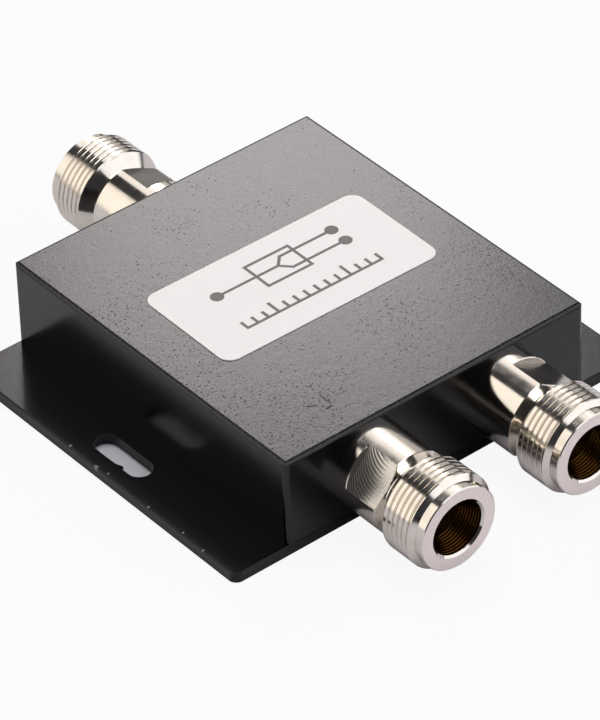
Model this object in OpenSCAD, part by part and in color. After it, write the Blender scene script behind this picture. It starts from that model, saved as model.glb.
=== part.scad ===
// Two-way radio-frequency power splitter: a flanged box with one coaxial socket behind and two in front.
// Millimetres. Z is up, the outputs point to -Y, the input to +Y, and the base plate stands on Z = 0.

/* [Box] */
// Width of the box between its flanges
body_w = 58; // [54:0.5:70]
// Depth of the box from the output wall to the input wall
body_d = 65; // [60:0.5:80]
// Height of the box above the base plate
body_h = 15.3; // [14.5:0.1:20]
// Thickness of the front and rear walls, which hold the sockets
end_wall = 5; // [4:0.1:6]
// Thickness of the two side walls
side_wall = 3; // [2:0.1:4]
// Rounding along the upper edges
top_edge_r = 0.7; // [0.3:0.05:1.2]
// Rounding of the four upright corners
upright_r = 0.8; // [0.4:0.05:1.5]
// Side of the square posts in the corners of the cavity
post_w = 7; // [6:0.1:8]

/* [Base plate] */
// Thickness of the base plate
plate_t = 1.9; // [1.8:0.1:3]
// Width of the flange on each side
flange_w = 10; // [8.5:0.1:14]
// Rounding of the plate's four corners
plate_corner_r = 1.4; // [0.5:0.1:3]
// Rounding along the plate's upper edges
plate_edge_r = 0.25; // [0.1:0.05:0.5]
// Width of the fixing slot in each flange
slot_w = 4.2; // [3.2:0.1:5]
// Length of the fixing slot over its round ends
slot_len = 12.3; // [8:0.1:20]
// Distance from the box's side to the middle of the slot
slot_off = 5.2; // [4.5:0.1:6]

/* [Screws] */
// Diameter of the countersunk screws that hold the plate
base_screw_d = 2.5; // [2:0.1:3]
// Diameter of their heads
base_head_d = 4.6; // [4:0.1:5]
// Height of the countersunk cone
base_cone_h = 1.3; // [1:0.1:1.6]
// How far the heads lie below the plate's face
base_sink = 0.15; // [0.05:0.05:0.2]
// Length of the screws over all
base_screw_len = 8; // [6:0.5:9]
// Width of the cross in a screw's head
cross_w = 2.6; // [2:0.1:3]
// Thickness of the cross's blades
cross_blade = 0.6; // [0.4:0.05:0.8]
// Depth of the cross
cross_depth = 0.8; // [0.5:0.1:1]

/* [Sockets] */
// Distance between the two output sockets
port_pitch = 26; // [22:0.5:30]
// Height of the sockets' axis above the base plate
port_z = 6.9; // [6.4:0.1:7.4]
// Reach of a socket from the wall to its end face
socket_len = 19.8; // [18.5:0.1:24]
// Diameter of the coupling thread
thread_d = 15.88; // [15:0.02:17]
// Length of the coupling thread
thread_len = 5.6; // [4:0.1:6]
// Diameter of the round neck next to the wall
neck_d = 14.2; // [13.6:0.1:14.8]
// Length of the neck
neck_len = 9.2; // [8.5:0.1:10]
// Diameter of the relief between the neck and the thread
relief_d = 11.7; // [11:0.1:11.9]
// Length of the relief between its two cones
relief_len = 0.25; // [0.1:0.05:0.6]
// Length of the cone from the neck down to the relief
neck_cone_len = 0.45; // [0.2:0.05:0.8]
// Length of the cone from the relief up to the thread
thread_cone_len = 2; // [1.6:0.1:2.4]
// Length of the cone from the thread down to the nose
lead_len = 0.65; // [0.4:0.05:0.9]
// Diameter of the plain nose ahead of the cone
nose_d = 14.1; // [13.6:0.1:14.6]
// Width of the broken edge round the end face
rim_break = 0.15; // [0.05:0.05:0.3]
// Diameter of the mouth of the socket
mouth_d = 9.7; // [9.2:0.1:10.4]
// Depth of the mouth
mouth_depth = 0.9; // [0.5:0.1:1.5]
// Diameter of the socket's bore
bore_d = 8.2; // [7.8:0.1:8.8]
// Depth of the socket from its end face to the insulator
bore_depth = 9.4; // [9:0.1:10.5]
// Diameter of the threaded stub in the wall
stub_d = 11.4; // [11:0.1:12]
// Distance across the two wrench flats
flat_af = 12; // [11.8:0.1:13]
// Distance from the wall to the flats, which run out at the front of the neck
flat_start = 2.8; // [2:0.1:3.5]
// Direction of the left output's flats, in degrees
left_turn = 142; // [0:1:180]
// Direction of the right output's flats, in degrees
right_turn = 64; // [0:1:180]
// Direction of the input's flats, in degrees
input_turn = 114; // [0:1:180]

/* [Contacts] */
// Outer diameter of the slotted contact
contact_d = 3; // [2.6:0.1:3.4]
// Diameter of the hole in the contact
contact_bore_d = 1.65; // [1.5:0.05:1.8]
// Depth of the hole in the contact
contact_bore_depth = 5.5; // [4:0.1:6]
// Distance from the end face to the contact's tip
contact_recess = 5.2; // [4.8:0.1:6]
// Width of the contact's slots
contact_slot_w = 0.3; // [0.2:0.05:0.4]
// Length of the contact's slots
contact_slot_len = 3.6; // [2.5:0.1:4]
// Diameter of the solder pin
pin_d = 1.3; // [1:0.1:1.6]
// Reach of the solder pin past the inner face of the wall
pin_reach = 4.5; // [3:0.1:6]
// Distance from the wall's outer face to the contact's shoulder
shoulder_u = 2; // [1:0.1:3]
// Diameter of the insulator's rear half
bead_d = 9.2; // [8.9:0.1:9.6]
// Thickness of the ring that holds the insulator
retainer_t = 1.5; // [1:0.1:2]
// Hole through that ring
retainer_hole_d = 5; // [4:0.1:6]

/* [Board] */
// Thickness of the circuit board
board_t = 1.6; // [1:0.1:1.8]
// Thickness of the printed conductor
trace_t = 0.1; // [0.05:0.05:0.2]
// Width of the conductor at the ports
port_trace_w = 3; // [2.4:0.1:3.4]
// Width of the two folded arms
arm_trace_w = 1.6; // [1:0.1:2]
// Passes of each folded arm
arm_legs = 4; // [4:2:6]
// Length of the arms' fold along the board
arm_run = 22; // [18:0.5:24]
// Margin between the arms and the edges of the board
arm_margin = 2; // [0.7:0.1:2.5]
// Distance from the resistor to the cross runs of the outputs
output_drop = 8; // [6:0.1:9]
// Length of the isolation resistor
resistor_len = 6.3; // [6:0.1:7]
// Width of the isolation resistor
resistor_w = 3.2; // [2:0.1:3.4]
// Height of the isolation resistor
resistor_h = 0.7; // [0.5:0.1:1]
// Length of the resistor's metal ends
resistor_cap = 1.2; // [0.8:0.1:1.5]
// Step between the resistor's body and its metal ends
resistor_lip = 0.05; // [0.02:0.01:0.1]
// Diameter of the board screws
board_screw_d = 2.5; // [2:0.1:2.6]
// Diameter of the board screws' heads
board_head_d = 4.2; // [3.8:0.1:4.4]
// Height of the board screws' heads
board_head_h = 1.5; // [1:0.1:2]
// Depth of the board screws in the roof
board_screw_bite = 4; // [3:0.1:4.5]
// Distance from the rim of a screw's head to the nearest edge of the board
board_screw_margin = 0.8; // [0.5:0.1:1.5]
// Distance from the middle to each of the two screws beside the input
rear_screw_x = 11; // [9:0.5:14]
// Radius of the solder round a pin
solder_r = 1.2; // [1:0.05:1.4]
// Length of the solder along a pin
solder_len = 3; // [2:0.1:3]
// Thickness of the solder between a pin and the conductor
solder_film = 0.15; // [0.1:0.05:0.3]

/* [Label] */
// Length of the label on top
label_w = 41.4; // [30:0.2:48]
// Width of the label
label_d = 20.9; // [12:0.1:40]
// Thickness of the label
label_t = 0.12; // [0.05:0.01:0.3]
// Rounding of the label's corners
label_r = 2.2; // [0.5:0.1:4]
// Sideways place of the label's middle
label_x = 0.35; // [-2:0.05:2]
// Forward place of the label's middle
label_y = 1.4; // [-6:0.1:6]
// Turn of the label, in degrees
label_turn = -0.6; // [-2:0.1:2]

/* [Fits] */
// Clearance round a screw or a stub in its threaded hole
thread_gap = 0.04; // [0.02:0.01:0.08]
// Clearance round a screw in a plain hole
screw_gap = 0.15; // [0.1:0.05:0.2]
// Clearance round a countersunk head
head_gap = 0.05; // [0.03:0.01:0.1]
// Clearance between a pressed piece and its bore
press_gap = 0.02; // [0.01:0.01:0.05]
// Clearance round the circuit board
board_gap = 0.3; // [0.2:0.05:0.5]

/* [Hidden] */
$fn = 96;
cut = 1;

total_h = plate_t + body_h;
axis_z = plate_t + port_z;
plate_w = body_w + 2 * flange_w;
slot_x = body_w / 2 + slot_off;

cavity_w = body_w - 2 * side_wall;
cavity_d = body_d - 2 * end_wall;
board_w = cavity_w - 2 * board_gap;
board_d = cavity_d - 2 * board_gap;
notch_w = post_w + board_gap;

trace_z = axis_z + pin_d / 2 + solder_film;
board_z = trace_z + trace_t;
roof_z = board_z + board_t;

screw_x = (cavity_w - post_w) / 2;
screw_y = (cavity_d - post_w) / 2;
base_hole_depth = base_screw_len - plate_t + base_sink + cut;

relief_u = neck_len + neck_cone_len;
thread_u = relief_u + relief_len + thread_cone_len;
lead_u = thread_u + thread_len;
nose_u = lead_u + lead_len;
bore_u = socket_len - bore_depth;
tip_u = socket_len - contact_recess;
flat_edge = flat_af / 2;
flat_len = relief_u - flat_start;

arm_out_x = (board_w - arm_trace_w) / 2 - arm_margin;
arm_in_x = resistor_len / 2 - resistor_cap + arm_trace_w / 2;
arm_first_y = (board_d - arm_trace_w) / 2 - notch_w - arm_margin;
arm_step = arm_run / (arm_legs - 1);
resistor_y = arm_first_y - arm_run;
output_y = resistor_y - output_drop;

rear_screw_y = (board_d - board_head_d) / 2 - board_screw_margin;
side_screw_x = (board_w - board_head_d) / 2 - board_screw_margin;
front_screw_y = (output_y - port_trace_w / 2 - board_d / 2) / 2;
board_screw_places = [
    [rear_screw_x, rear_screw_y],
    [-rear_screw_x, rear_screw_y],
    [side_screw_x, output_y],
    [-side_screw_x, output_y],
    [0, front_screw_y]
];

// Rectangle about the origin with round corners
module round_rect(w, d, r) {
    square([w - 2 * r, d], center = true);
    square([w, d - 2 * r], center = true);
    for (x = [-1, 1], y = [-1, 1])
        translate([x * (w / 2 - r), y * (d / 2 - r)]) circle(r);
}

// Upright section that is square below and round at its two upper corners
module arch(w, h, r) {
    translate([-w / 2, 0]) square([w, h - r]);
    translate([r - w / 2, 0]) square([w - 2 * r, h]);
    for (x = [-1, 1])
        translate([x * (w / 2 - r), h - r]) circle(r);
}

// Block standing on the origin, with round upright corners and round upper edges
module soft_block(w, d, h, corner_r, edge_r) {
    intersection() {
        linear_extrude(h) round_rect(w, d, corner_r);
        rotate([90, 0, 0]) linear_extrude(d + cut, center = true) arch(w, h, edge_r);
        rotate([90, 0, 90]) linear_extrude(w + cut, center = true) arch(d, h, edge_r);
    }
}

// Puts a socket's piece, drawn along +Z from the wall, at its port
module at_input() {
    translate([0, body_d / 2, axis_z]) rotate([90, 0, 180]) children();
}

module at_output(side) {
    translate([side * port_pitch / 2, -body_d / 2, axis_z]) rotate([90, 0, 0]) children();
}

module at_ports() {
    at_input() children();
    for (side = [-1, 1])
        at_output(side) children();
}

module at_base_screws() {
    for (x = [-1, 1], y = [-1, 1])
        translate([x * screw_x, y * screw_y, 0]) children();
}

module at_board_screws() {
    for (place = board_screw_places)
        translate(place) children();
}

// Plan of the cavity: a rectangle less the four corner posts
module cavity_plan(w, d, corner) {
    difference() {
        square([w, d], center = true);
        for (x = [-1, 1], y = [-1, 1])
            translate([x * w / 2, y * d / 2]) square(2 * corner, center = true);
    }
}

module housing() {
    color([0.09, 0.09, 0.1])
    difference() {
        translate([0, 0, plate_t]) soft_block(body_w, body_d, body_h, upright_r, top_edge_r);
        translate([0, 0, plate_t - cut])
            linear_extrude(roof_z - plate_t + cut) cavity_plan(cavity_w, cavity_d, post_w);
        at_ports()
            translate([0, 0, -end_wall - cut]) cylinder(end_wall + 2 * cut, d = stub_d + 2 * thread_gap);
        at_base_screws()
            translate([0, 0, plate_t - cut])
                cylinder(base_hole_depth + cut, d = base_screw_d + 2 * thread_gap);
        translate([0, 0, roof_z - cut])
            at_board_screws()
                cylinder(board_screw_bite + 2 * cut, d = board_screw_d + 2 * thread_gap);
    }
}

module slot_plan() {
    straight = slot_len - slot_w;
    square([slot_w, straight], center = true);
    for (y = [-1, 1])
        translate([0, y * straight / 2]) circle(d = slot_w);
}

// Hollow for a countersunk head, from the lower face of the plate up
module head_hollow() {
    mouth = base_head_d / 2 + head_gap;
    neck = base_screw_d / 2 + screw_gap;
    rotate_extrude()
        polygon([
            [0, -cut], [mouth, -cut], [mouth, base_sink],
            [neck, base_sink + base_cone_h], [neck, plate_t + cut], [0, plate_t + cut]
        ]);
}

module base_plate() {
    color([0.09, 0.09, 0.1])
    difference() {
        soft_block(plate_w, body_d, plate_t, plate_corner_r, plate_edge_r);
        for (side = [-1, 1])
            translate([side * slot_x, 0, -cut]) linear_extrude(plate_t + 2 * cut) slot_plan();
        at_base_screws() head_hollow();
    }
}

// Cross for a driver, sunk upward into a head's lower face
module cross_recess() {
    for (turn = [0, 90])
        rotate(turn)
            translate([-cross_w / 2, -cross_blade / 2, -cut])
                cube([cross_w, cross_blade, cross_depth + cut]);
}

module base_screw() {
    difference() {
        translate([0, 0, base_sink])
            rotate_extrude()
                polygon([
                    [0, 0], [base_head_d / 2, 0], [base_screw_d / 2, base_cone_h],
                    [base_screw_d / 2, base_screw_len], [0, base_screw_len]
                ]);
        translate([0, 0, base_sink]) cross_recess();
    }
}

module base_screws() {
    color("dimgray") at_base_screws() base_screw();
}

module label() {
    color("whitesmoke")
    translate([label_x, label_y, total_h])
        rotate(label_turn) linear_extrude(label_t) round_rect(label_w, label_d, label_r);
}

module circuit_board() {
    color("darkgreen")
    difference() {
        translate([0, 0, board_z]) linear_extrude(board_t) cavity_plan(board_w, board_d, notch_w);
        at_board_screws()
            translate([0, 0, board_z - cut])
                cylinder(board_t + 2 * cut, d = board_screw_d + 2 * screw_gap);
    }
}

// Straight run of conductor between two points along X or Y
module run(from, to, w) {
    size = [abs(to[0] - from[0]) + w, abs(to[1] - from[1]) + w];
    translate((from + to) / 2) square(size, center = true);
}

// Half of the conductor: one folded arm and the line from it to its output
module trace_half() {
    for (leg = [0 : arm_legs - 1]) {
        y = arm_first_y - leg * arm_step;
        start_x = leg == 0 ? 0 : arm_in_x;
        turn_x = leg % 2 == 0 ? arm_out_x : arm_in_x;
        run([start_x, y], [arm_out_x, y], arm_trace_w);
        if (leg < arm_legs - 1)
            run([turn_x, y], [turn_x, y - arm_step], arm_trace_w);
    }
    run([arm_in_x, resistor_y], [arm_in_x, output_y], arm_trace_w);
    run([arm_in_x, output_y], [port_pitch / 2, output_y], port_trace_w);
    run([port_pitch / 2, output_y], [port_pitch / 2, (port_trace_w - board_d) / 2], port_trace_w);
}

module microstrip() {
    color("goldenrod")
    translate([0, 0, trace_z])
        linear_extrude(trace_t) {
            run([0, (board_d - port_trace_w) / 2], [0, arm_first_y], port_trace_w);
            trace_half();
            mirror([1, 0]) trace_half();
        }
}

// Chip with a ceramic body and a metal cap at each end, under the conductor
module isolation_resistor() {
    core = [resistor_len - 2 * resistor_cap, resistor_w - 2 * resistor_lip, resistor_h - 2 * resistor_lip];
    color("black")
    translate([0, resistor_y, trace_z - resistor_h / 2]) {
        cube(core, center = true);
        for (side = [-1, 1])
            translate([side * (resistor_len - resistor_cap) / 2, 0, 0])
                cube([resistor_cap, resistor_w, resistor_h], center = true);
    }
}

module board_screw() {
    difference() {
        union() {
            translate([0, 0, board_z - board_head_h]) cylinder(board_head_h, d = board_head_d);
            translate([0, 0, board_z]) cylinder(board_t + board_screw_bite, d = board_screw_d);
        }
        translate([0, 0, board_z - board_head_h]) cross_recess();
    }
}

module board_screws() {
    color("silver") at_board_screws() board_screw();
}

// Round bead of solder under the conductor, along the last part of a pin
module solder_joint() {
    end = end_wall + pin_reach;
    translate([0, 0, -end])
        difference() {
            cylinder(solder_len, r = solder_r);
            translate([-2 * solder_r, pin_d / 2 + solder_film, -cut])
                cube([4 * solder_r, 2 * solder_r, solder_len + 2 * cut]);
            translate([0, 0, -cut]) cylinder(solder_len + 2 * cut, d = pin_d + 2 * press_gap);
        }
}

module solder_joints() {
    color("lightgray") at_ports() solder_joint();
}

// Turned body of a socket, with its stub in the wall, its neck, relief, thread, lead cone and nose
module socket_body(turn) {
    difference() {
        rotate_extrude()
            polygon([
                [bead_d / 2, -end_wall], [stub_d / 2, -end_wall], [stub_d / 2, 0],
                [neck_d / 2, 0], [neck_d / 2, neck_len],
                [relief_d / 2, relief_u], [relief_d / 2, thread_u - thread_cone_len],
                [thread_d / 2, thread_u], [thread_d / 2, lead_u], [nose_d / 2, nose_u],
                [nose_d / 2, socket_len - rim_break], [nose_d / 2 - rim_break, socket_len],
                [mouth_d / 2, socket_len], [mouth_d / 2, socket_len - mouth_depth],
                [bore_d / 2, socket_len - mouth_depth], [bore_d / 2, 0], [bead_d / 2, 0]
            ]);
        for (side = [0, 180])
            rotate(turn + side)
                translate([flat_edge, -neck_d, flat_start]) cube([neck_d, 2 * neck_d, flat_len]);
    }
}

module input_socket() {
    color("silver") at_input() socket_body(input_turn);
}

module left_output_socket() {
    color("silver") at_output(-1) socket_body(left_turn);
}

module right_output_socket() {
    color("silver") at_output(1) socket_body(right_turn);
}

// Insulator: a stepped bead from the floor of the socket to the retaining ring
module insulator() {
    rotate_extrude()
        polygon([
            [pin_d / 2 + press_gap, retainer_t - end_wall],
            [bead_d / 2 - press_gap, retainer_t - end_wall],
            [bead_d / 2 - press_gap, 0],
            [bore_d / 2 - press_gap, 0],
            [bore_d / 2 - press_gap, bore_u],
            [contact_d / 2 + press_gap, bore_u],
            [contact_d / 2 + press_gap, shoulder_u],
            [pin_d / 2 + press_gap, shoulder_u]
        ]);
}

module input_insulator() {
    color("white") at_input() insulator();
}

module left_output_insulator() {
    color("white") at_output(-1) insulator();
}

module right_output_insulator() {
    color("white") at_output(1) insulator();
}

// Slotted contact with a solder pin behind its shoulder
module contact() {
    difference() {
        rotate_extrude()
            polygon([
                [0, -end_wall - pin_reach], [pin_d / 2, -end_wall - pin_reach], [pin_d / 2, shoulder_u],
                [contact_d / 2, shoulder_u], [contact_d / 2, tip_u],
                [contact_bore_d / 2, tip_u], [contact_bore_d / 2, tip_u - contact_bore_depth],
                [0, tip_u - contact_bore_depth]
            ]);
        for (turn = [0, 90])
            rotate(turn)
                translate([-contact_d, -contact_slot_w / 2, tip_u - contact_slot_len])
                    cube([2 * contact_d, contact_slot_w, contact_slot_len + cut]);
    }
}

module input_contact() {
    color("gold") at_input() contact();
}

module left_output_contact() {
    color("gold") at_output(-1) contact();
}

module right_output_contact() {
    color("gold") at_output(1) contact();
}

// Ring pressed into the stub behind the insulator
module retainer() {
    translate([0, 0, -end_wall])
        difference() {
            cylinder(retainer_t, d = bead_d - 2 * press_gap);
            translate([0, 0, -cut]) cylinder(retainer_t + 2 * cut, d = retainer_hole_d);
        }
}

module input_retainer() {
    color("darkgoldenrod") at_input() retainer();
}

module left_output_retainer() {
    color("darkgoldenrod") at_output(-1) retainer();
}

module right_output_retainer() {
    color("darkgoldenrod") at_output(1) retainer();
}

housing();
base_plate();
base_screws();
label();
circuit_board();
microstrip();
isolation_resistor();
board_screws();
solder_joints();
input_socket();
left_output_socket();
right_output_socket();
input_insulator();
left_output_insulator();
right_output_insulator();
input_contact();
left_output_contact();
right_output_contact();
input_retainer();
left_output_retainer();
right_output_retainer();
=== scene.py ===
# RF power splitter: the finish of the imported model. Metres, Z up, the outputs point to -Y.
import math

import bmesh
import bpy
from mathutils import Matrix, Vector


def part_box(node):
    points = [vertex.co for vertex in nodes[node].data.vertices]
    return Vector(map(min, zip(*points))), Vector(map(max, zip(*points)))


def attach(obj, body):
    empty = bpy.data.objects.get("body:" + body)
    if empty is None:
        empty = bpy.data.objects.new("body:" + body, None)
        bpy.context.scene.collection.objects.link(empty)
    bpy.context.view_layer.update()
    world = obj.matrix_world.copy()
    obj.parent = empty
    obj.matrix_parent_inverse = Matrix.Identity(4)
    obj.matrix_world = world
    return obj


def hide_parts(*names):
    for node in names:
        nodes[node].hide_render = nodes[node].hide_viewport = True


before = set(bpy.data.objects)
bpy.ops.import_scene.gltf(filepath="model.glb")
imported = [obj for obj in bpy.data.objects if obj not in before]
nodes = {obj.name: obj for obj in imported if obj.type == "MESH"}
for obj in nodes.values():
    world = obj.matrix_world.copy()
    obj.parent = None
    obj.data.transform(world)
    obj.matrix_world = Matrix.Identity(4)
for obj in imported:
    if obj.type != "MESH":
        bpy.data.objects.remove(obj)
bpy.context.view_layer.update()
mm = 0.001
weld = 1e-7    # metres, corners closer than this become one
print("frame loaded:", len(nodes), "nodes")


def linear(hexColour):
    parts = [int(hexColour[i:i + 2], 16) / 255 for i in (1, 3, 5)]
    return (*(c / 12.92 if c <= 0.04045 else ((c + 0.055) / 1.055) ** 2.4 for c in parts), 1.0)


# One node with its settings; an input takes a value or the socket that feeds it
def addNode(tree, kind, inputs=None, **settings):
    node = tree.nodes.new(kind)
    for name, value in settings.items():
        setattr(node, name, value)
    for key, value in (inputs or {}).items():
        if isinstance(value, bpy.types.NodeSocket):
            tree.links.new(value, node.inputs[key])
        else:
            node.inputs[key].default_value = value
    return node


# An empty Principled material, its tree, its shader and the Object coordinates
def startMaterial(name, **constants):
    material = bpy.data.materials.new(name)
    material.use_nodes = True
    tree = material.node_tree
    tree.nodes.clear()
    inputs = {key.replace("_", " "): value for key, value in constants.items()}
    shader = addNode(tree, "ShaderNodeBsdfPrincipled", inputs)
    addNode(tree, "ShaderNodeOutputMaterial", {"Surface": shader.outputs[0]})
    place = addNode(tree, "ShaderNodeTexCoord").outputs["Object"]
    return material, tree, shader, place


# The links that every finish ends with
def joinShader(tree, shader, colour, rough, bump):
    tree.links.new(colour.outputs["Result"], shader.inputs["Base Color"])
    tree.links.new(rough.outputs[0], shader.inputs["Roughness"])
    tree.links.new(bump.outputs[0], shader.inputs["Normal"])


# Sprayed enamel on sheet and cast metal: deep black with a clear gloss, slight orange peel,
# and many small pits where the coat didn't wet the metal, which break the reflection
enamel = {
    "colour": "#060608",
    "roughness": 0.19,
    "peelSize": 1.8,             # mm from hump to hump
    "peelHeight": 0.007,
    "grainSize": 0.45,
    "grainHeight": 0.008,
    "dusty": "#2c2b2c",          # thin grey dust on the top
    "dustRange": (0.35, 0.65),   # of the grain's noise, from clean to dusty
    "pitColour": "#020203",
    "pitRoughness": 0.52,
    "pitSize": 0.36,             # mm from one possible pit to the next
    "pitDepth": 0.002,
    "pitRim": 0.05,              # of the fine noise, from the rim of a pit to its floor
    "pitLevel": (0.74, 0.622),   # the fine noise makes a pit above this, where pits are few and where many
    "pitsAbove": 17.0,           # mm, only the top of the box is pitted
    "patchSize": 14.0,           # mm, patches with more pits and with fewer
    "patchRange": (0.3, 0.75),
    "denseAt": -13.0,            # mm along Y where pits are thickest, and how far from there they thin out
    "thinsOut": 34.0,
    "crowding": (0.16, -0.06),   # added to the patches' noise at these two places
    "rightward": 0.5,            # how much sooner the pits thin out on the right
    "ragSize": 0.25,             # mm, the ragged rim of a place where the coat is broken
    "ragRange": (1.4, 1.2),      # in radii of that place, from whole coat to bare
    "farOff": 9.0,               # in radii, no broken place near
}
# Fine scratches near the front corner of the top, in mm: start and end of each
scratches = {
    "lines": [(-14.9, -23.6, -14.8, -25.8), (-17.9, -24.3, -16.8, -24.9), (-16.1, -26.5, -15.2, -26.4)],
    "height": 17.2, "radius": 0.22, "steps": 5,
}
# The two coats: specular level, what shows where the coat is broken, and those places in mm:
# x, y, z and radius
boxCoat = {
    "gloss": 0.41, "under": "#0a090a",
    "broken": [(x0 + (x1 - x0) * i / scratches["steps"], y0 + (y1 - y0) * i / scratches["steps"],
                scratches["height"], scratches["radius"])
               for x0, y0, x1, y1 in scratches["lines"] for i in range(scratches["steps"] + 1)],
}
plateCoat = {
    "gloss": 0.3, "under": "#8d8a8c",
    "broken": [(-38.7, 7.0, 1.9, 0.3), (-39.0, 0.5, 1.7, 0.55), (-38.5, -2.0, 1.9, 0.2),
               (-38.8, -12.0, 1.9, 0.24), (-38.6, -20.0, 1.9, 0.22), (-38.9, -25.0, 1.8, 0.3)],
}


def makeEnamel(e, name, coat):
    material, tree, shader, place = startMaterial(name, IOR=1.5, Specular_IOR_Level=coat["gloss"])
    noise = {}
    for key, detail in (("peel", 1.0), ("grain", 2.0), ("patch", 2.0), ("pit", 1.0), ("rag", 2.0)):
        noise[key] = addNode(tree, "ShaderNodeTexNoise", {
            "Vector": place, "Scale": 1 / (e[key + "Size"] * mm), "Detail": detail}).outputs["Fac"]
    spot = addNode(tree, "ShaderNodeSeparateXYZ", {0: place}).outputs
    onTop = addNode(tree, "ShaderNodeMath", {
        0: spot[2], 1: e["pitsAbove"] * mm}, operation="GREATER_THAN").outputs[0]

    # pits are the peaks of a fine noise; patches and the place on the top decide how many peaks show
    fromDense = addNode(tree, "ShaderNodeMath", {
        0: spot[1], 1: e["denseAt"] * mm}, operation="SUBTRACT")
    apart = addNode(tree, "ShaderNodeMath", {0: fromDense.outputs[0]}, operation="ABSOLUTE")
    lean = addNode(tree, "ShaderNodeMath", {
        0: spot[0], 1: e["rightward"], 2: apart.outputs[0]}, operation="MULTIPLY_ADD")
    crowd = addNode(tree, "ShaderNodeMapRange", {
        "Value": lean.outputs[0], "From Min": 0.0, "From Max": e["thinsOut"] * mm,
        "To Min": e["crowding"][0], "To Max": e["crowding"][1]})
    most = addNode(tree, "ShaderNodeMath", {0: noise["patch"], 1: crowd.outputs[0]}, operation="ADD")
    level = addNode(tree, "ShaderNodeMapRange", {
        "Value": most.outputs[0], "From Min": e["patchRange"][0], "From Max": e["patchRange"][1],
        "To Min": e["pitLevel"][0], "To Max": e["pitLevel"][1]})
    over = addNode(tree, "ShaderNodeMath", {0: noise["pit"], 1: level.outputs[0]}, operation="SUBTRACT")
    shown = addNode(tree, "ShaderNodeMapRange", {
        "Value": over.outputs[0], "From Min": 0.0, "From Max": e["pitRim"]}, interpolation_type="SMOOTHSTEP")
    pit = addNode(tree, "ShaderNodeMath", {0: shown.outputs[0], 1: onTop}, operation="MULTIPLY").outputs[0]
    mottle = addNode(tree, "ShaderNodeMapRange", {
        "Value": noise["grain"], "From Min": e["dustRange"][0], "From Max": e["dustRange"][1],
        "To Max": onTop})

    # broken places: how far inside the nearest one, with a ragged rim
    nearest = e["farOff"]
    for x, y, z, radius in coat["broken"]:
        away = addNode(tree, "ShaderNodeVectorMath", {
            0: place, 1: (x * mm, y * mm, z * mm)}, operation="DISTANCE")
        radii = addNode(tree, "ShaderNodeMath", {
            0: away.outputs["Value"], 1: radius * mm}, operation="DIVIDE")
        nearest = addNode(tree, "ShaderNodeMath", {
            0: radii.outputs[0], 1: nearest}, operation="MINIMUM").outputs[0]
    torn = addNode(tree, "ShaderNodeMath", {0: nearest, 1: noise["rag"]}, operation="ADD")
    bare = addNode(tree, "ShaderNodeMapRange", {
        "Value": torn.outputs[0], "From Min": e["ragRange"][0], "From Max": e["ragRange"][1]}).outputs[0]

    humps = addNode(tree, "ShaderNodeBump", {
        "Height": noise["peel"], "Distance": e["peelHeight"] * mm, "Strength": 1.0})
    dust = addNode(tree, "ShaderNodeBump", {
        "Height": noise["grain"], "Distance": e["grainHeight"] * mm, "Strength": 1.0,
        "Normal": humps.outputs[0]})
    dents = addNode(tree, "ShaderNodeBump", {
        "Height": pit, "Distance": e["pitDepth"] * mm, "Strength": 1.0,
        "Normal": dust.outputs[0]}, invert=True)
    film = addNode(tree, "ShaderNodeMix", {
        "Factor": mottle.outputs[0], "A": linear(e["colour"]), "B": linear(e["dusty"])}, data_type="RGBA")
    pitted = addNode(tree, "ShaderNodeMix", {
        "Factor": pit, "A": film.outputs["Result"], "B": linear(e["pitColour"])}, data_type="RGBA")
    colour = addNode(tree, "ShaderNodeMix", {
        "Factor": bare, "A": pitted.outputs["Result"], "B": linear(coat["under"])}, data_type="RGBA")
    broken = addNode(tree, "ShaderNodeMath", {0: pit, 1: bare}, operation="MAXIMUM")
    rough = addNode(tree, "ShaderNodeMapRange", {
        "Value": broken.outputs[0], "To Min": e["roughness"], "To Max": e["pitRoughness"]})
    joinShader(tree, shader, colour, rough, dents)
    return material


# Bright nickel over turned brass: a warm white metal whose fine tool rings run round the axis
nickel = {
    "colour": "#e4ded5",
    "shade": "#d0c8be",
    "smearSize": 2.5,            # mm, soft patches from handling
    "smearRange": (0.3, 0.7),
    "ringSpacing": 0.12,         # mm, coarser than real tool marks so that they show
    "ringChange": 0.06,          # how fast a ring changes round the axis
    "bright": {"ringHeight": 0.0009, "roughness": 0.1, "worn": 0.17},
    "satin": {"ringHeight": 0.0003, "roughness": 0.16, "worn": 0.21},
    # the face colours are lighter and pinker than the turned nickel: a painted reflection of the bright
    # floor in front
    "faceColoursPaintedBright": ("#f4e8e4", "#fdf2ee"),
    "faceRoughness": (0.48, 0.64),    # the end face is lapped and dull, with fine specks
    "speckSize": 0.35,
    "speckHeight": 0.004,
    "speckStrength": 0.6,
    "millBright": "#f2ece2",
    # painted shade in the bottom of each milled groove
    "groove": "#1c1611",
    "millSpacing": 0.62,         # mm between the passes of the milling cutter on the flats
    "millDrift": 0.5,            # mm that the passes wander, and the waves of that in one mm
    "millWaves": 0.9,
    "cutterRadius": 6.0,
    "cutterAt": 7.9,             # mm from the wall, where the cutter's middle went across
    "millFade": 2.2,             # mm over which the marks fade towards that line
    "millFaintest": 0.06,        # of their depth, which stays
    # torn by a blunt cutter, so a little dull; the wide dark lines in its grooves are painted shade
    "coarseMill": {"depth": 0.02, "rough": (0.26, 0.45), "metallic": 0.8, "sharp": 1.6},
    "fineMill": {"depth": 0.009, "rough": (0.16, 0.32), "metallic": 1.0, "sharp": 2.5},
}


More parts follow.
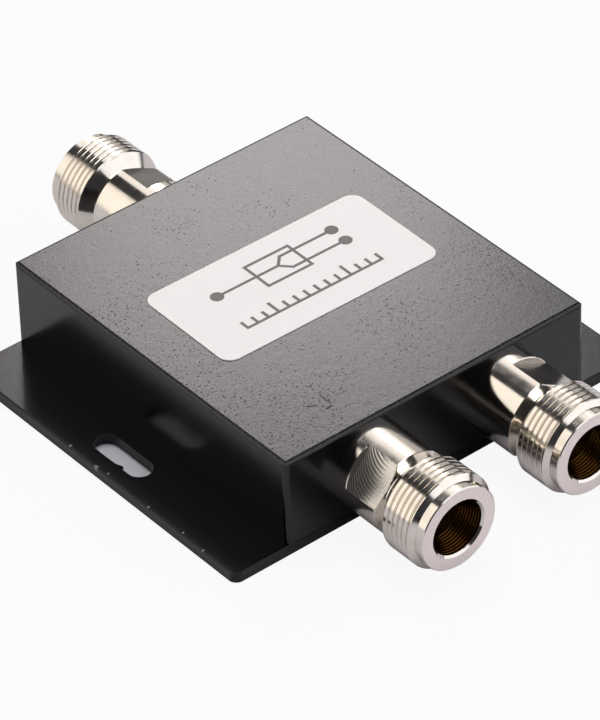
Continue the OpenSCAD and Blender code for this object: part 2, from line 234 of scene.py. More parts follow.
def makeNickel(n, name, polish):
    material, tree, shader, place = startMaterial(name, Metallic=1.0)
    rings = addNode(tree, "ShaderNodeUVMap", uv_map="turning")
    across = addNode(tree, "ShaderNodeMapping", {
        "Vector": rings.outputs[0], "Scale": (n["ringChange"], 1 / n["ringSpacing"], 1.0)})
    marks = addNode(tree, "ShaderNodeTexNoise", {
        "Vector": across.outputs[0], "Scale": 1.0, "Detail": 3.0})
    smears = addNode(tree, "ShaderNodeTexNoise", {
        "Vector": place, "Scale": 1 / (n["smearSize"] * mm), "Detail": 3.0}).outputs["Fac"]
    colour = addNode(tree, "ShaderNodeMix", {
        "Factor": smears, "A": linear(n["shade"]), "B": linear(n["colour"])}, data_type="RGBA")
    rough = addNode(tree, "ShaderNodeMapRange", {
        "Value": smears, "From Min": n["smearRange"][0], "From Max": n["smearRange"][1],
        "To Min": polish["roughness"], "To Max": polish["worn"]})
    bump = addNode(tree, "ShaderNodeBump", {
        "Height": marks.outputs["Fac"], "Distance": polish["ringHeight"] * mm, "Strength": 1.0})
    joinShader(tree, shader, colour, rough, bump)
    return material


def makeLappedNickel(n):
    material, tree, shader, place = startMaterial("lappedNickelFacePaintedBright", Metallic=1.0)
    speck = addNode(tree, "ShaderNodeTexNoise", {
        "Vector": place, "Scale": 1 / (n["speckSize"] * mm), "Detail": 3.0}).outputs["Fac"]
    # lighter than the nickel elsewhere, which is painted reflection of the floor, with fine specks
    dull, bright = n["faceColoursPaintedBright"]
    colour = addNode(tree, "ShaderNodeMix", {
        "Factor": speck, "A": linear(dull), "B": linear(bright)}, data_type="RGBA")
    rough = addNode(tree, "ShaderNodeMapRange", {
        "Value": speck, "To Min": n["faceRoughness"][0], "To Max": n["faceRoughness"][1]})
    bump = addNode(tree, "ShaderNodeBump", {
        "Height": speck, "Distance": n["speckHeight"] * mm, "Strength": n["speckStrength"]})
    joinShader(tree, shader, colour, rough, bump)
    return material


# The flats are milled with the end of a cutter fed across them: one scalloped arc beside the other,
# deep towards the wall and faint where the cutter's middle went. The bottom of each arc is painted dark as
# painted shade.
def makeMilledNickel(n, name, cut):
    material, tree, shader, _ = startMaterial(name, Metallic=cut["metallic"])
    flat = addNode(tree, "ShaderNodeUVMap", uv_map="turning").outputs[0]
    spot = addNode(tree, "ShaderNodeSeparateXYZ", {0: flat})
    wobble = addNode(tree, "ShaderNodeTexNoise", {"Vector": flat, "Scale": n["millWaves"], "Detail": 3.0})
    known = {"across": spot.outputs[0], "along": spot.outputs[1], "wobble": wobble.outputs["Fac"]}
    for result, operation, first, second in [
            ("behind", "SUBTRACT", n["cutterAt"], "along"),
            ("square", "MULTIPLY", "behind", "behind"),
            ("room", "SUBTRACT", n["cutterRadius"] ** 2, "square"),
            ("bulge", "SQRT", "room", 0.0),
            ("beside", "SUBTRACT", "across", "bulge"),
            ("drift", "MULTIPLY", "wobble", n["millDrift"]),
            ("moved", "ADD", "beside", "drift"),
            ("passes", "DIVIDE", "moved", n["millSpacing"] / 2),
            ("tooth", "PINGPONG", "passes", 1.0),
            ("fading", "DIVIDE", "behind", n["millFade"]),
            ("notBefore", "MAXIMUM", "fading", n["millFaintest"]),
            ("shown", "MINIMUM", "notBefore", 1.0),
            ("wave", "MULTIPLY", "tooth", "tooth"),
            ("scallop", "MULTIPLY", "wave", "shown"),
            ("line", "POWER", "tooth", cut["sharp"]),
            ("grooveShadeAndRoughness", "MULTIPLY", "line", "shown")]:
        known[result] = addNode(tree, "ShaderNodeMath", {
            0: known.get(first, first), 1: known.get(second, second)}, operation=operation).outputs[0]
    bump = addNode(tree, "ShaderNodeBump", {
        "Height": known["scallop"], "Distance": cut["depth"] * mm, "Strength": 1.0})
    # the groove lines are painted dark, which is painted shade, and they are rougher as well
    colour = addNode(tree, "ShaderNodeMix", {
        "Factor": known["grooveShadeAndRoughness"], "A": linear(n["millBright"]), "B": linear(n["groove"])},
        data_type="RGBA")
    rough = addNode(tree, "ShaderNodeMapRange", {
        "Value": known["grooveShadeAndRoughness"], "To Min": cut["rough"][0], "To Max": cut["rough"][1]})
    joinShader(tree, shader, colour, rough, bump)
    return material


# Plain finishes: two close colours in soft patches, a roughness range and a fine bump, sizes in mm
plainFinishes = {
    "satinLabelFilm": dict(a="#f8f5f4", b="#f5f1f0", grain=0.5, rough=(0.42, 0.5), bump=0.001, metal=0),
    "greyScreenInk": dict(a="#6d6a69", b="#7a7776", grain=0.4, rough=(0.5, 0.62), bump=0.002, metal=0),
    "blackOxideSteel": dict(a="#1c1c1e", b="#2a2a2c", grain=0.4, rough=(0.32, 0.48), bump=0.003, metal=1),
    # the bore's brass is painted dark brown: painted shade deep inside the hole
    "brassBoreInPaintedShade": dict(a="#331f0b", b="#5f3d18", grain=0.5, rough=(0.22, 0.34), bump=0.003, metal=1),
    "whiteFluoropolymer": dict(a="#e6e2d8", b="#efece4", grain=0.8, rough=(0.38, 0.5), bump=0.004, metal=0),
    "goldPlatedContact": dict(a="#d9a441", b="#e8bb5c", grain=0.5, rough=(0.14, 0.26), bump=0.002, metal=1),
    "turnedBrass": dict(a="#b98d45", b="#cda458", grain=0.4, rough=(0.2, 0.34), bump=0.003, metal=1),
    "glassFibreLaminate": dict(a="#123d20", b="#1b5029", grain=0.6, rough=(0.34, 0.46), bump=0.004, metal=0),
    "etchedCopper": dict(a="#b5704a", b="#c9855d", grain=0.6, rough=(0.26, 0.4), bump=0.002, metal=1),
    "chipCeramic": dict(a="#17171a", b="#222226", grain=0.3, rough=(0.3, 0.42), bump=0.002, metal=0),
    "zincPlatedSteel": dict(a="#a8a9ad", b="#bcbdc0", grain=0.5, rough=(0.24, 0.38), bump=0.003, metal=1),
    "tinSolder": dict(a="#b4b5b8", b="#c6c7c9", grain=0.7, rough=(0.18, 0.32), bump=0.006, metal=1),
}


def makePlain(name, p):
    material, tree, shader, place = startMaterial(name, Metallic=p["metal"])
    grain = addNode(tree, "ShaderNodeTexNoise", {
        "Vector": place, "Scale": 1 / (p["grain"] * mm), "Detail": 3.0}).outputs["Fac"]
    colour = addNode(tree, "ShaderNodeMix", {
        "Factor": grain, "A": linear(p["a"]), "B": linear(p["b"])}, data_type="RGBA")
    rough = addNode(tree, "ShaderNodeMapRange", {
        "Value": grain, "To Min": p["rough"][0], "To Max": p["rough"][1]})
    bump = addNode(tree, "ShaderNodeBump", {
        "Height": grain, "Distance": p["bump"] * mm, "Strength": 1.0})
    joinShader(tree, shader, colour, rough, bump)
    return material


finish = {name: makePlain(name, p) for name, p in plainFinishes.items()}
finish["boxEnamel"] = makeEnamel(enamel, "sprayedBlackEnamel", boxCoat)
finish["plateEnamel"] = makeEnamel(enamel, "chippedBlackEnamel", plateCoat)
finish["nickel"] = makeNickel(nickel, "turnedBrightNickel", nickel["bright"])
finish["satin"] = makeNickel(nickel, "satinNickelNeck", nickel["satin"])
finish["lapped"] = makeLappedNickel(nickel)
finish["coarseFlat"] = makeMilledNickel(nickel, "coarselyMilledNickel", nickel["coarseMill"])
finish["fineFlat"] = makeMilledNickel(nickel, "finelyMilledNickel", nickel["fineMill"])

nodeFinish = {
    "housing": "boxEnamel",
    "base_plate": "plateEnamel",
    "base_screws": "blackOxideSteel",
    "label": "satinLabelFilm",
    "circuit_board": "glassFibreLaminate",
    "microstrip": "etchedCopper",
    "isolation_resistor": "chipCeramic",
    "board_screws": "zincPlatedSteel",
    "solder_joints": "tinSolder",
}
for port in ("input", "left_output", "right_output"):
    nodeFinish[port + "_insulator"] = "whiteFluoropolymer"
    nodeFinish[port + "_contact"] = "goldPlatedContact"
    nodeFinish[port + "_retainer"] = "turnedBrass"
for nodeName, finishName in nodeFinish.items():
    slots = nodes[nodeName].data.materials
    slots.clear()
    slots.append(finish[finishName])
print("materials:", len(finish))


# A finished mesh as a piece of the part, on the one body, with its finishes
def addPiece(work, name, finishNames):
    mesh = bpy.data.meshes.new(name)
    work.to_mesh(mesh)
    work.free()
    for finishName in finishNames:
        mesh.materials.append(finish[finishName])
    piece = bpy.data.objects.new(name, mesh)
    bpy.context.scene.collection.objects.link(piece)
    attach(piece, "root")
    return piece


# Socket bodies, turned in one piece; distances along the axis start at the wall, all in mm
socket = {
    "neck": 14.2, "neckEnd": 9.2, "neckBreak": 0.04,
    "relief": 11.7, "reliefStart": 9.65, "reliefEnd": 9.9, "core": 11.3,
    "threadCrest": 15.88, "threadStart": 11.9, "threadEnd": 17.5, "threadPitch": 1.058, "threadDepth": 0.3,
    "threadSunk": 0.2,     # how far the threaded ring reaches into the core
    "crestShare": 0.68,    # of half a pitch, before the flank starts, and where it ends
    "rootShare": 0.95,
    "threadRows": 20.0,    # mesh rows in one pitch
    "threadTurn": {"left_output": 40, "right_output": 0, "input": 0},    # where it starts, in degrees
    "nose": 14.1, "noseStart": 18.15, "rimBreak": 0.15, "reach": 19.8,
    "mouth": 9.9, "mouthBevel": 0.34, "throat": 9.24,
    "bore": 8.2, "flareTurns": 8, "bead": 9.2, "stub": 11.4, "stubDepth": 5.0,
    "flats": 12.0, "flatStart": 2.8, "flatSteps": 6,
    "anyDepth": 9.0,       # a flat may cut this deep, which is more than it ever does
    "turns": {"left_output": 142, "right_output": 64, "input": 114},    # of the flats, in degrees
    "neckFinish": {"left_output": "satin", "right_output": "nickel", "input": "nickel"},
    "flatFinish": {"left_output": "coarseFlat", "right_output": "fineFlat", "input": "fineFlat"},
    # ridges left by the tool in the bore, highest on one side and each with a steep outer flank
    "ridge": 0.5, "ridgeDepth": 0.1, "ridgeSide": -50, "ridgeFocus": 6,
    "boreEnd": 1.0,        # from the wall, where the ridges stop
    "soft": 0.12,          # broken edges
    "sharpFrom": 18,       # degrees
    "segments": 160,
}
surfaces = {"turned": 0, "flat": 1, "face": 2, "bore": 3, "neck": 4}    # places in the list of finishes


# Geometry Nodes tree of a closed ring with a screw thread round local Z; its rows follow the helix
def makeThreadTree(material):
    tree = bpy.data.node_groups.new("couplingThread", "GeometryNodeTree")
    wanted = {
        "NodeSocketFloat": ("Crest Radius", "Crest Share", "Root Share", "Depth", "Pitch", "Rows Per Pitch",
                            "Start", "Length", "Core Radius", "Start Radius", "Start Slope",
                            "End Radius", "End Slope"),
        "NodeSocketInt": ("Segments", "Rows"),
    }
    sizeSockets = {}
    for kind, names in wanted.items():
        for name in names:
            made = tree.interface.new_socket(name, in_out="INPUT", socket_type=kind)
            sizeSockets[name] = made.identifier
    tree.interface.new_socket("Thread", in_out="OUTPUT", socket_type="NodeSocketGeometry")
    given = addNode(tree, "NodeGroupInput").outputs

    grid = addNode(tree, "GeometryNodeMeshGrid", {
        "Size X": 1.0, "Size Y": 1.0, "Vertices X": given["Segments"], "Vertices Y": given["Rows"]})
    corner = addNode(tree, "GeometryNodeInputPosition").outputs[0]
    here = addNode(tree, "ShaderNodeSeparateXYZ", {0: corner})
    known = {size.name: size for size in given if size.name}
    known.update({"x": here.outputs[0], "y": here.outputs[1]})
    for result, operation, first, second in [
            ("turn", "ADD", "x", 0.5),
            # rows: inner start edge, the threaded outside, inner end edge, inner start edge again
            ("lastRow", "SUBTRACT", "Rows", 1.0),
            ("share", "ADD", "y", 0.5),
            ("place", "MULTIPLY", "share", "lastRow"),
            ("row", "ROUND", "place", 0.0),
            ("endRow", "SUBTRACT", "lastRow", 1.0),
            ("isEnd", "COMPARE", "row", "endRow"),
            ("beforeEnd", "SUBTRACT", "endRow", 0.5),
            ("low", "GREATER_THAN", "row", 0.5),
            ("high", "LESS_THAN", "row", "beforeEnd"),
            ("outside", "MULTIPLY", "low", "high"),
            # how far along the axis a row is, pitch by pitch round the helix
            ("outsideRow", "SUBTRACT", "row", 1.0),
            ("wave", "DIVIDE", "outsideRow", "Rows Per Pitch"),
            ("wound", "ADD", "wave", "turn"),
            ("started", "SUBTRACT", "wound", 1.0),
            ("climb", "MULTIPLY", "started", "Pitch"),
            ("fromStart", "MAXIMUM", "climb", 0.0),
            ("held", "MINIMUM", "fromStart", "Length"),
            # the row next to the edge of the front cone moves onto that edge
            ("endRise", "SUBTRACT", "Crest Radius", "End Radius"),
            ("endRun", "DIVIDE", "endRise", "End Slope"),
            ("endEdge", "SUBTRACT", "Length", "endRun"),
            ("rowHeight", "DIVIDE", "Pitch", "Rows Per Pitch"),
            ("rowsHere", "DIVIDE", "held", "rowHeight"),
            ("rowsToEdge", "DIVIDE", "endEdge", "rowHeight"),
            ("isEdge", "COMPARE", "rowsHere", "rowsToEdge"),
            ("offEdge", "SUBTRACT", "endEdge", "held"),
            ("pull", "MULTIPLY", "isEdge", "offEdge"),
            ("settled", "ADD", "held", "pull"),
            ("heldOutside", "MULTIPLY", "settled", "outside"),
            ("endPlace", "MULTIPLY", "isEnd", "Length"),
            ("along", "ADD", "heldOutside", "endPlace"),
            ("height", "ADD", "Start", "along"),
            # wide crest, short flanks and a narrow root, by the row's place in the pitch
            ("swing", "PINGPONG", "wave", 0.5),
            ("fromCrest", "MULTIPLY", "swing", 2.0),
            ("pastCrest", "SUBTRACT", "fromCrest", "Crest Share"),
            ("flank", "SUBTRACT", "Root Share", "Crest Share"),
            ("fall", "DIVIDE", "pastCrest", "flank"),
            ("fallFrom", "MAXIMUM", "fall", 0.0),
            ("groove", "MINIMUM", "fallFrom", 1.0),
            ("sunk", "MULTIPLY", "groove", "Depth"),
            ("thread", "SUBTRACT", "Crest Radius", "sunk"),
            # the first turn rises from a steep cone, and the last one runs out on a cone
            ("rise", "MULTIPLY", "along", "Start Slope"),
            ("rear", "ADD", "Start Radius", "rise"),
            ("toGo", "SUBTRACT", "Length", "along"),
            ("drop", "MULTIPLY", "toGo", "End Slope"),
            ("front", "ADD", "End Radius", "drop"),
            ("cones", "MINIMUM", "rear", "front"),
            ("trimmed", "MINIMUM", "thread", "cones"),
            ("standsOut", "SUBTRACT", "trimmed", "Core Radius"),
            ("outsideOnly", "MULTIPLY", "standsOut", "outside"),
            ("radius", "ADD", "Core Radius", "outsideOnly"),
            ("angle", "MULTIPLY", "turn", math.tau),
            ("cosine", "COSINE", "angle", 0.0),
            ("sine", "SINE", "angle", 0.0),
            ("px", "MULTIPLY", "radius", "cosine"),
            ("py", "MULTIPLY", "radius", "sine")]:
        known[result] = addNode(tree, "ShaderNodeMath", {
            0: known.get(first, first), 1: known.get(second, second)}, operation=operation).outputs[0]
    spot = addNode(tree, "ShaderNodeCombineXYZ", {0: known["px"], 1: known["py"], 2: known["height"]})
    ring = addNode(tree, "GeometryNodeSetPosition", {
        "Geometry": grid.outputs["Mesh"], "Position": spot.outputs[0]})
    merged = addNode(tree, "GeometryNodeMergeByDistance", {
        "Geometry": ring.outputs[0], "Distance": 10 * weld})
    real = addNode(tree, "GeometryNodeRealizeInstances", {0: merged.outputs[0]})
    painted = addNode(tree, "GeometryNodeSetMaterial", {"Geometry": real.outputs[0], "Material": material})
    addNode(tree, "NodeGroupOutput", {0: painted.outputs[0]})
    return tree, sizeSockets


def makeThread(s):
    tree, sizeSockets = makeThreadTree(finish["nickel"])
    blank = bpy.data.objects.new("threadBlank", bpy.data.meshes.new("threadBlank"))
    bpy.context.scene.collection.objects.link(blank)
    modifier = blank.modifiers.new("thread", "NODES")
    modifier.node_group = tree
    length = s["noseStart"] - s["reliefEnd"]
    outsideRows = math.ceil((length / s["threadPitch"] + 1) * s["threadRows"]) + 1
    crest, relief, nose = s["threadCrest"] / 2, s["relief"] / 2, s["nose"] / 2
    values = {
        "Crest Radius": crest * mm, "Crest Share": s["crestShare"], "Root Share": s["rootShare"],
        "Depth": s["threadDepth"] * mm, "Pitch": s["threadPitch"] * mm, "Rows Per Pitch": s["threadRows"],
        "Start": s["reliefEnd"] * mm, "Length": length * mm,
        "Core Radius": (s["core"] / 2 - s["threadSunk"]) * mm, "Start Radius": relief * mm,
        "Start Slope": (crest - relief) / (s["threadStart"] - s["reliefEnd"]),
        "End Radius": nose * mm, "End Slope": (crest - nose) / (s["noseStart"] - s["threadEnd"]),
        "Segments": s["segments"] + 1, "Rows": outsideRows + 3}
    for name, value in values.items():
        modifier[sizeSockets[name]] = value
    bpy.context.view_layer.update()
    mesh = bpy.data.meshes.new_from_object(blank.evaluated_get(bpy.context.evaluated_depsgraph_get()))
    bpy.data.objects.remove(blank)
    return mesh


# Rings of the turned outline, from the stub round to the bore: distance, radius, how deep the flats
# may cut it, and how far a tool ridge stands out
def socketRings(s):
    e, rim, deep = s["soft"], s["rimBreak"], s["anyDepth"]
    bead, stub, neck, relief = s["bead"] / 2, s["stub"] / 2, s["neck"] / 2, s["relief"] / 2
    core, nose, mouth, throat = s["core"] / 2, s["nose"] / 2, s["mouth"] / 2, s["throat"] / 2
    end, bore = s["reach"], s["bore"] / 2
    start, neckEnd = s["flatStart"], s["neckEnd"]
    rings = [
        (-s["stubDepth"], bead, 0, 0), (-s["stubDepth"], stub, 0, 0), (0, stub, 0, 0), (0, neck, 0, 0),
        (start - e, neck, 0, 0), (start, neck, e, 0), (start, neck, deep, 0), (neckEnd - e, neck, deep, 0)]
    # the flats run out on the cone in front of the neck
    for i in range(s["flatSteps"] + 1):
        share = i / s["flatSteps"]
        rings.append((neckEnd + share * (s["reliefStart"] - neckEnd),
                      neck - s["neckBreak"] + share * (relief - neck + s["neckBreak"]), deep, 0))
    outer = end - s["mouthBevel"]
    rings += [
        (s["reliefEnd"], relief, 0, 0), (s["reliefEnd"], core, 0, 0),
        (s["noseStart"], core, 0, 0), (s["noseStart"], nose, 0, 0),
        (end - rim, nose, 0, 0), (end, nose - rim, 0, 0), (end, mouth, 0, 0), (outer, throat, 0, 0)]
    # the tool left a ridge every half millimetre in the bore
    for i in range(int((outer - s["boreEnd"]) / s["ridge"])):
        top = outer - i * s["ridge"]
        wall = bore + (throat - bore) * max(0, 1 - i / s["flareTurns"])
        rings += [(top - s["ridgeDepth"], wall, 0, s["ridgeDepth"]), (top - s["ridge"], wall, 0, 0)]
    rings += [(0, bore, 0, 0), (0, bead, 0, 0), (-s["stubDepth"], bead, 0, 0)]
    return rings


# The finish between two rings, where no flat cuts them
def surfaceBetween(s, u0, r0, u1, r1):
    if u0 == u1 == s["reach"]:
        return "face"
    if max(r0, r1) < s["throat"] / 2 + weld / mm and u0 > 0:
        return "bore"
    if u0 >= 0 and u1 <= s["neckEnd"]:
        return "neck"
    return "turned"


# Faces from ring to ring round the axis, with the two flats cut in
def turnBody(work, s, turn):
    half = s["flats"] / 2
    corner = math.acos(half / (s["neck"] / 2))
    angles = {i * math.tau / s["segments"] for i in range(s["segments"])}
    angles |= {(turn + flip + side * corner) % math.tau for flip in (0, math.pi) for side in (-1, 1)}
    angles = sorted(angles)
    rings = socketRings(s)
    ridgeSide = math.radians(s["ridgeSide"])
    grid = []
    for u, r, cut, ridge in rings:
        line = []
        for a in angles:
            flatHere = half / max(abs(math.cos(a - turn)), weld)
            ridgeHere = ridge * max(0, math.cos(a - ridgeSide)) ** s["ridgeFocus"]
            radius = min(r, max(flatHere, r - cut)) - ridgeHere
            line.append(work.verts.new((radius * math.cos(a) * mm, radius * math.sin(a) * mm, u * mm)))
        grid.append(line)
    for i in range(len(rings) - 1):
        u0, r0, cut0, _ = rings[i]
        u1, r1, cut1, _ = rings[i + 1]
        plain = surfaceBetween(s, u0, r0, u1, r1)
        # the cone takes the flat's finish only as far as the flat's plane cuts it
        widest = math.acos(min(1, half / max(r0, r1)))
        for j in range(len(angles)):
            k = (j + 1) % len(angles)
            between = angles[j] + ((angles[k] - angles[j]) % math.tau) / 2
            onFlat = cut0 and cut1 and u1 > u0 and math.acos(abs(math.cos(between - turn))) < widest
            face = work.faces.new((grid[i][j], grid[i][k], grid[i + 1][k], grid[i + 1][j]))
            face.material_index = surfaces["flat" if onFlat else plain]


# Turning map in mm: round the axis and along it; on a flat, across it and along it
def mapTurning(work, s, turn):
    uv = work.loops.layers.uv["turning"]
    side = Vector((-math.sin(turn), math.cos(turn), 0))
    for face in work.faces:
        centre = face.calc_center_median()
        around = math.atan2(centre.y, centre.x)
        for loop in face.loops:
            p = loop.vert.co / mm
            if face.material_index == surfaces["flat"]:
                loop[uv].uv = (p.dot(side), p.z)
            else:
                turnHere = around + math.remainder(math.atan2(p.y, p.x) - around, math.tau)
                loop[uv].uv = (turnHere * s["nose"] / 2, p.z)


# From the turned outline's own frame to its place on the front or the rear wall of the box
def socketSeat(port):
    front, rear = (corner.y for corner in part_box("housing"))
    low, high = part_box(port + "_socket")
    middle = (low + high) / 2
    if port == "input":
        seat = Matrix.Translation((middle.x, rear, middle.z)) @ Matrix.Rotation(math.pi, 4, "Z")
    else:
        seat = Matrix.Translation((middle.x, front, middle.z))
    return seat @ Matrix.Rotation(math.pi / 2, 4, "X")


def makeSocket(s, port, thread):
    turn = math.radians(s["turns"][port])
    work = bmesh.new()
    work.from_mesh(thread)
    work.transform(Matrix.Rotation(math.radians(s["threadTurn"][port]), 4, "Z"))
    for face in work.faces:
        face.material_index = surfaces["turned"]
    work.loops.layers.uv.new("turning")
    turnBody(work, s, turn)
    bmesh.ops.remove_doubles(work, verts=work.verts, dist=weld)
    bmesh.ops.dissolve_degenerate(work, edges=work.edges, dist=weld)
    bmesh.ops.recalc_face_normals(work, faces=work.faces)
    mapTurning(work, s, turn)
    work.transform(socketSeat(port))
    finishNames = ["nickel", s["flatFinish"][port], "lapped", "brassBoreInPaintedShade", s["neckFinish"][port]]
    body = addPiece(work, port + "_turned_body", finishNames)
    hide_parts(port + "_socket")
    body.data.shade_smooth()
    body.data.set_sharp_from_angle(angle=math.radians(s["sharpFrom"]))
    print(body.name, len(body.data.polygons), "faces")


threadMesh = makeThread(socket)
for port in socket["turns"]:
    makeSocket(socket, port, threadMesh)
bpy.data.meshes.remove(threadMesh)

# Print on the label, in mm from its middle: a box with one line in and two out, and a row of ticks
printed = {
    "line": 0.5, "thickness": 0.03, "turn": -0.6,
    "lift": 0.0004,    # from stroke to stroke, so that crossing ones don't share a plane
    "box": (-4.2, 4.2, 0.4, 6.4), "lead": 7.6, "spread": 1.7, "fork": 1.6,
    "dotRadius": 1.1, "dotCorners": 28,
    "scale": (-13.0, 13.0), "scaleY": -5.6, "ticks": 14, "tick": 1.5, "longTick": 2.6, "longTicks": (3, 10),
}


def makePrint(p):
    left, right, low, high = p["box"]
    middle = (low + high) / 2
    upper, lower = middle + p["spread"], middle - p["spread"]
    start, end = p["scale"]
    step = (end - start) / (p["ticks"] - 1)
    strokes = [
        [(left, low), (right, low), (right, high), (left, high), (left, low)],
        [(left - p["lead"], middle), (left, middle)],
        [(start, p["scaleY"]), (end, p["scaleY"])],
        [(right, upper), (right + p["lead"], upper)],
        [(right, lower), (right + p["lead"], lower)],
        [(left, middle), (0.0, middle)],
        [(right, upper), (p["fork"], upper), (0.0, middle), (p["fork"], lower), (right, lower)]]
    for i in range(p["ticks"]):
        top = p["scaleY"] + (p["longTick"] if i in p["longTicks"] else p["tick"])
        strokes.append([(start + i * step, p["scaleY"]), (start + i * step, top)])
    dots = [(left - p["lead"], middle), (right + p["lead"], upper), (right + p["lead"], lower)]
    # each stroke is a thin flat bar with square ends, each dot a thin disc
    outlines = []
    for points in strokes:
        for first, second in zip(points, points[1:]):
            a, b = Vector(first), Vector(second)
            along = (b - a).normalized() * p["line"] / 2
            side = Vector((-along.y, along.x))
            outlines.append([a - along - side, b + along - side, b + along + side, a - along + side])
    for x, y in dots:
        turns = [i * math.tau / p["dotCorners"] for i in range(p["dotCorners"])]
        outlines.append([
            Vector((x + p["dotRadius"] * math.cos(a), y + p["dotRadius"] * math.sin(a))) for a in turns])
    work = bmesh.new()
    thick = p["thickness"]
    for outline in outlines:
        bottom = [work.verts.new((q.x, q.y, 0)) for q in outline]
        top = [work.verts.new((q.x, q.y, thick)) for q in outline]
        work.faces.new(top)
        work.faces.new(bottom[::-1])
        for i in range(len(outline)):
            k = (i + 1) % len(outline)
            work.faces.new((bottom[i], bottom[k], top[k], top[i]))
        thick += p["lift"]
    lowest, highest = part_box("label")
    onLabel = Matrix.Translation(((lowest.x + highest.x) / 2, (lowest.y + highest.y) / 2, highest.z))
    turned = Matrix.Rotation(math.radians(p["turn"]), 4, "Z")
    work.transform(onLabel @ turned @ Matrix.Scale(mm, 4))
    addPiece(work, "label_print", ["greyScreenInk"])


makePrint(printed)
print("label print made")

# A run of paint that set on the outer edge of the left slot, in mm
paintRun = {
    # along Y, and how far it stands into the slot there
    "outline": [(2.6, 0.0), (2.2, 0.2), (1.0, 0.34), (-0.2, 0.36), (-0.9, 0.48), (-1.4, 0.76), (-1.7, 0.9),
                (-1.95, 0.6), (-2.2, 0.2), (-2.5, 0.0)],
    "edge": -36.3, "inside": 0.1, "middle": 1.15, "tall": 0.72, "corners": 16,
}


def makePaintRun(p):
    work = bmesh.new()
    rows = []
    for y, proud in p["outline"]:
        row = []
        for i in range(p["corners"]):
            turn = i * math.tau / p["corners"]
            reach = proud + p["inside"] if math.sin(turn) > 0 else p["inside"]
            x = p["edge"] - p["inside"] + reach * math.sin(turn)
            row.append(work.verts.new((x, y, p["middle"] + p["tall"] * math.cos(turn))))
        rows.append(row)
    for first, second in zip(rows, rows[1:]):
        for i in range(p["corners"]):
            k = (i + 1) % p["corners"]
            work.faces.new((first[i], first[k], second[k], second[i]))
    work.faces.new(rows[0])
    work.faces.new(rows[-1][::-1])
    bmesh.ops.recalc_face_normals(work, faces=work.faces)
    work.transform(Matrix.Scale(mm, 4))
    run = addPiece(work, "slot_paint_run", ["plateEnamel"])
    run.data.shade_smooth()


makePaintRun(paintRun)
print("paint run made")

# Studio: pale paper on a dark floor, seen white all over, with soft boxes round it and a weak fill
studio = {
    "paper": "#e0dee6", "beyond": "#2a2a2d",
    "floorSize": 8.0, "floorDrop": 0.0001,    # metres; the floor lies just under the plate
    "seenWhite": 0.92, "mirroredWhite": 0.24,
    "paperEdge": (-150.0, -105.0),            # mm along Y, over which the paper ends in front
    # the floor close to the front wall is in the box's shade: axis, middle, and where that ends, in mm
    "wallShade": [(0, 0.0, 14.0, 28.0), (1, -40.0, 8.0, 22.0)],
    "slotShade": (37.0, 20.0),                # mm, half of the floor under the slots, which isn't whitened
    "air": "#e8ebf2", "airStrength": 0.05,
}


def makePaper(st):
    material = bpy.data.materials.new("paleStudioPaper")
    material.use_nodes = True
    tree = material.node_tree
    tree.nodes.clear()
    ray = addNode(tree, "ShaderNodeLightPath").outputs
    place = addNode(tree, "ShaderNodeTexCoord").outputs["Object"]
    spot = addNode(tree, "ShaderNodeSeparateXYZ", {0: place}).outputs
    paperOff, paperOn = st["paperEdge"]
    onPaper = addNode(tree, "ShaderNodeMapRange", {
        "Value": spot[1], "From Min": paperOff * mm, "From Max": paperOn * mm},
        interpolation_type="SMOOTHSTEP").outputs[0]

    # how white mirrors show the floor
    mirrored = addNode(tree, "ShaderNodeMath", {
        0: ray["Is Glossy Ray"], 1: ray["Is Transmission Ray"]}, operation="MAXIMUM")
    lit = 0.0
    for axis, centre, dark, clear in st["wallShade"]:
        fromCentre = addNode(tree, "ShaderNodeMath", {0: spot[axis], 1: centre * mm}, operation="SUBTRACT")
        apart = addNode(tree, "ShaderNodeMath", {0: fromCentre.outputs[0]}, operation="ABSOLUTE")
        clearOf = addNode(tree, "ShaderNodeMapRange", {
            "Value": apart.outputs[0], "From Min": dark * mm, "From Max": clear * mm})
        lit = addNode(tree, "ShaderNodeMath", {
            0: clearOf.outputs[0], 1: lit}, operation="MAXIMUM").outputs[0]
    whiter = addNode(tree, "ShaderNodeMath", {0: onPaper, 1: st["mirroredWhite"]}, operation="MULTIPLY")
    outOfShade = addNode(tree, "ShaderNodeMath", {0: whiter.outputs[0], 1: lit}, operation="MULTIPLY")
    faint = addNode(tree, "ShaderNodeMath", {
        0: mirrored.outputs[0], 1: outOfShade.outputs[0]}, operation="MULTIPLY")
    whitened = addNode(tree, "ShaderNodeMath", {
        0: ray["Is Camera Ray"], 1: st["seenWhite"], 2: faint.outputs[0]}, operation="MULTIPLY_ADD")

    # under the plate, where only the slots show it, the floor stays in its own shade
    outside = []
    for axis, halfWide in enumerate(st["slotShade"]):
        apart = addNode(tree, "ShaderNodeMath", {0: spot[axis]}, operation="ABSOLUTE")
        outside.append(addNode(tree, "ShaderNodeMath", {
            0: apart.outputs[0], 1: halfWide * mm}, operation="GREATER_THAN").outputs[0])
    openFloor = addNode(tree, "ShaderNodeMath", {0: outside[0], 1: outside[1]}, operation="MAXIMUM")
    share = addNode(tree, "ShaderNodeMath", {
        0: whitened.outputs[0], 1: openFloor.outputs[0]}, operation="MULTIPLY")

    tone = addNode(tree, "ShaderNodeMix", {
        "Factor": onPaper, "A": linear(st["beyond"]), "B": linear(st["paper"])}, data_type="RGBA")
    paper = addNode(tree, "ShaderNodeBsdfDiffuse", {"Color": tone.outputs["Result"]})
    white = addNode(tree, "ShaderNodeEmission", {"Color": (1, 1, 1, 1), "Strength": 1.0})
    mix = addNode(tree, "ShaderNodeMixShader", {
        0: share.outputs[0], 1: paper.outputs[0], 2: white.outputs[0]})
    addNode(tree, "ShaderNodeOutputMaterial", {"Surface": mix.outputs[0]})
    return material


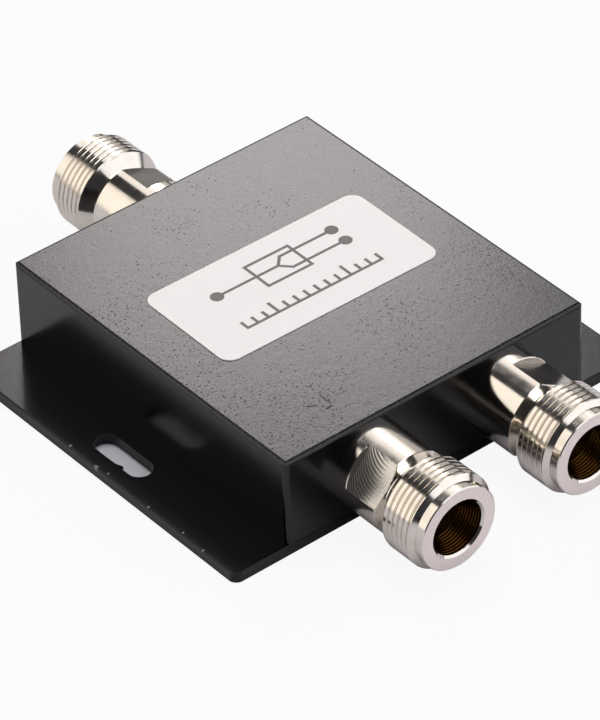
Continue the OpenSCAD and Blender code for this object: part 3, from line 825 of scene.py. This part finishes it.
def makeFloor(st):
    half = st["floorSize"] / 2
    corners = [(-half, -half, 0), (half, -half, 0), (half, half, 0), (-half, half, 0)]
    mesh = bpy.data.meshes.new("paleFloor")
    mesh.from_pydata(corners, [], [(0, 1, 2, 3)])
    mesh.materials.append(makePaper(st))
    floor = bpy.data.objects.new("paleFloor", mesh)
    floor.location.z = -st["floorDrop"]
    bpy.context.scene.collection.objects.link(floor)


makeFloor(studio)

# Soft boxes: direction and distance from the part, size, brightness of the cloth and its warmth
softBoxes = {
    "mainBox": dict(toward=(0.497, 0.645, 0.575), distance=0.9, size=(0.155, 0.185), roll=0,
                    glow=6.95, colour="#fff9f9"),
    "backSheet": dict(toward=(0.406, 0.675, 0.616), distance=0.95, size=(0.58, 0.58), roll=0,
                      glow=1.3, colour="#fffaf6"),
    "leftStrip": dict(toward=(-0.668, 0.623, 0.407), distance=0.9, size=(0.26, 0.89), roll=22,
                      glow=1.5, colour="#fff8ef"),
    "rightSheet": dict(toward=(0.729, 0.611, 0.309), distance=0.9, size=(0.22, 0.35), roll=0,
                       glow=0.6, colour="#fffaf6"),
    "frontBox": dict(toward=(0.574, -0.66, 0.485), distance=0.9, size=(1.45, 0.9), roll=0,
                     glow=1.45, colour="#fafbff"),
    "overhead": dict(toward=(0.05, 0.18, 1.0), distance=0.9, size=(0.5, 0.5), roll=0,
                     glow=5.05, colour="#fffdfd"),
}
for name, box in softBoxes.items():
    lamp = bpy.data.lights.new(name, "AREA")
    lamp.shape = "RECTANGLE"
    lamp.size, lamp.size_y = box["size"]
    lamp.energy = box["glow"] * math.pi * lamp.size * lamp.size_y
    lamp.color = linear(box["colour"])[:3]
    lampObject = bpy.data.objects.new(name, lamp)
    away = Vector(box["toward"]).normalized()
    lampObject.location = away * box["distance"]
    lean = Matrix.Rotation(math.radians(box["roll"]), 3, "Z")
    lampObject.rotation_euler = (away.to_track_quat("Z", "Y").to_matrix() @ lean).to_euler()
    bpy.context.scene.collection.objects.link(lampObject)

world = bpy.data.worlds.new("softAir")
world.use_nodes = True
world.node_tree.nodes["Background"].inputs["Color"].default_value = linear(studio["air"])
world.node_tree.nodes["Background"].inputs["Strength"].default_value = studio["airStrength"]
bpy.context.scene.world = world

# Camera where the photographer stood, in degrees and mm; its clipping is in metres
view = {
    "heading": 38.407, "down": 38.246, "roll": -1.900, "aim": (-3.68, -4.88, 6.98), "away": 790.0,
    "lens": 261.2, "sensor": 36.0, "clip": (0.01, 50.0),
}


def placeCamera(v):
    heading, down, roll = (math.radians(v[k]) for k in ("heading", "down", "roll"))
    level = Vector((math.cos(heading), -math.sin(heading), 0))
    ahead = Vector((math.sin(heading), math.cos(heading), 0))
    forward = ahead * math.cos(down) - Vector((0, 0, math.sin(down)))
    upright = level.cross(forward)
    right = level * math.cos(roll) + upright * math.sin(roll)
    up = upright * math.cos(roll) - level * math.sin(roll)
    data = bpy.data.cameras.new("photographer")
    data.lens = v["lens"]
    data.sensor_width = v["sensor"]
    data.clip_start, data.clip_end = v["clip"]
    camera = bpy.data.objects.new("photographer", data)
    stand = Matrix.Translation(Vector(v["aim"]) * mm - forward * v["away"] * mm)
    camera.matrix_world = stand @ Matrix((right, up, -forward)).transposed().to_4x4()
    bpy.context.scene.collection.objects.link(camera)
    bpy.context.scene.camera = camera


placeCamera(view)
bpy.context.scene.view_settings.view_transform = "Standard"
print("studio ready")
